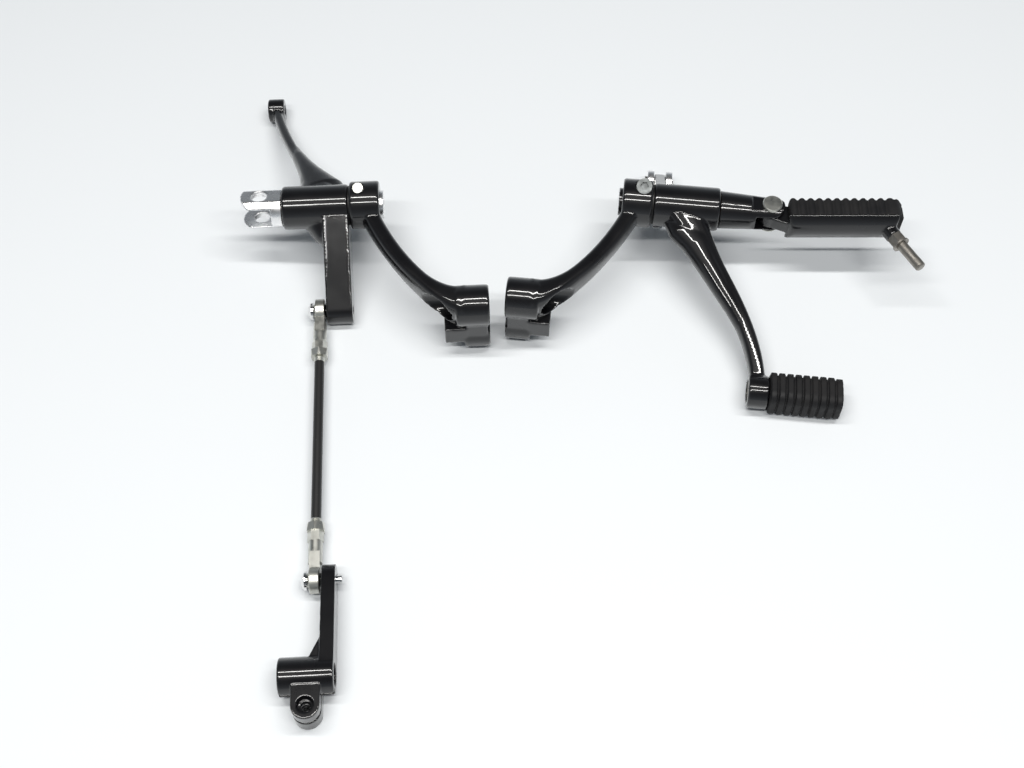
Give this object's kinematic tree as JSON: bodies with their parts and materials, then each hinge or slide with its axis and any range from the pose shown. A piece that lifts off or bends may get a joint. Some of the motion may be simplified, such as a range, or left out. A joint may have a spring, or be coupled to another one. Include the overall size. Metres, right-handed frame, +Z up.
{
  "type": "motorcycle forward controls",
  "caption": "Shift-side and brake-side forward foot controls for a cruiser motorcycle: curved cast brackets, levers, linkage with ball joints, folding footpeg.",
  "frame": {"origin": "on the bench that the set lies on, in the middle of its bounding box", "axes": "+Z up from the bench; +X to the brake side, roughly along the lever axes; +Y away from the viewer"},
  "size_m": [0.5377, 0.5621, 0.0741],
  "materials": {
    "black_paint": "gloss black paint over cast metal",
    "bare_metal": "polished bare metal",
    "zinc": "zinc plated steel, slightly yellowed",
    "chrome_ball": "hard chromed steel",
    "bronze": "sintered bronze",
    "rod_black": "satin black rod",
    "rubber": "matte moulded rubber",
    "dull_steel": "dull grey steel"
  },
  "bodies": {
    "brackets": {"left_bracket": "black_paint", "left_lock_screw": "zinc", "left_peg_support": "bare_metal", "left_thrust_washer": "zinc", "right_bracket": "black_paint", "right_lock_screw": "dull_steel", "right_peg_support": "black_paint", "right_thrust_washer": "zinc", "peg_pin": "zinc", "peg_clip": "zinc", "peg_spring_washer": "zinc"},
    "shift_lever": {"shift_lever": "black_paint", "shift_bush": "bronze", "upper_joint_bolt": "chrome_ball"},
    "upper_ball": {"upper_joint_ball": "chrome_ball"},
    "shift_rod": {"upper_rod_end": "zinc", "upper_lock_nut": "zinc", "shift_rod": "rod_black", "lower_lock_nut": "zinc", "lower_rod_end": "zinc"},
    "lower_ball": {"lower_joint_ball": "chrome_ball"},
    "shaft_lever": {"shaft_lever": "black_paint", "lower_joint_bolt": "chrome_ball"},
    "brake_lever": {"brake_lever": "black_paint", "brake_bush": "bronze", "brake_rod_pin": "dull_steel", "pad_bolt": "dull_steel", "brake_pad": "rubber"},
    "brake_rod_clevis": {"brake_rod_clevis": "bare_metal"},
    "footpeg": {"peg_core": "black_paint", "peg_rubber": "rubber", "feeler_nut": "dull_steel", "feeler_pin": "dull_steel"}
  },
  "joints": [
    {"name": "shift_pivot", "type": "hinge", "parent": "brackets", "child": "shift_lever", "pos_m": [-0.18348, 0.13151, 0.052], "axis": [-0.9986, -0.0523, 0], "range_deg": [-18, 18]},
    {"name": "upper_ball_swivel", "type": "hinge", "parent": "shift_lever", "child": "upper_ball", "pos_m": [-0.20592, 0.05724, 0.011], "axis": [-0.9986, -0.0523, 0], "range_deg": [-60, 60]},
    {"name": "upper_ball_tilt", "type": "hinge", "parent": "upper_ball", "child": "shift_rod", "pos_m": [-0.20592, 0.05724, 0.011], "axis": [0, 0, 1], "range_deg": [-8, 8]},
    {"name": "lower_ball_tilt", "type": "hinge", "parent": "shift_rod", "child": "lower_ball", "pos_m": [-0.19373, -0.17544, 0.011], "axis": [0, 0, 1], "range_deg": [-8, 8]},
    {"name": "lower_ball_swivel", "type": "hinge", "parent": "lower_ball", "child": "shaft_lever", "pos_m": [-0.19373, -0.17544, 0.011], "axis": [-0.9986, -0.0523, 0], "range_deg": [-60, 60]},
    {"name": "brake_pivot", "type": "hinge", "parent": "brackets", "child": "brake_lever", "pos_m": [0.06015, 0.13297, 0.052], "axis": [0.9945, -0.1045, 0], "range_deg": [-15, 15]},
    {"name": "brake_rod_swivel", "type": "hinge", "parent": "brake_lever", "child": "brake_rod_clevis", "pos_m": [0.07137, 0.1871, 0.011], "axis": [0.9945, -0.1045, 0], "range_deg": [0, 170]},
    {"name": "footpeg_fold", "type": "hinge", "parent": "brackets", "child": "footpeg", "pos_m": [0.15314, 0.1232, 0.052], "axis": [0, 0, 1], "range_deg": [0, 80]}
  ]
}
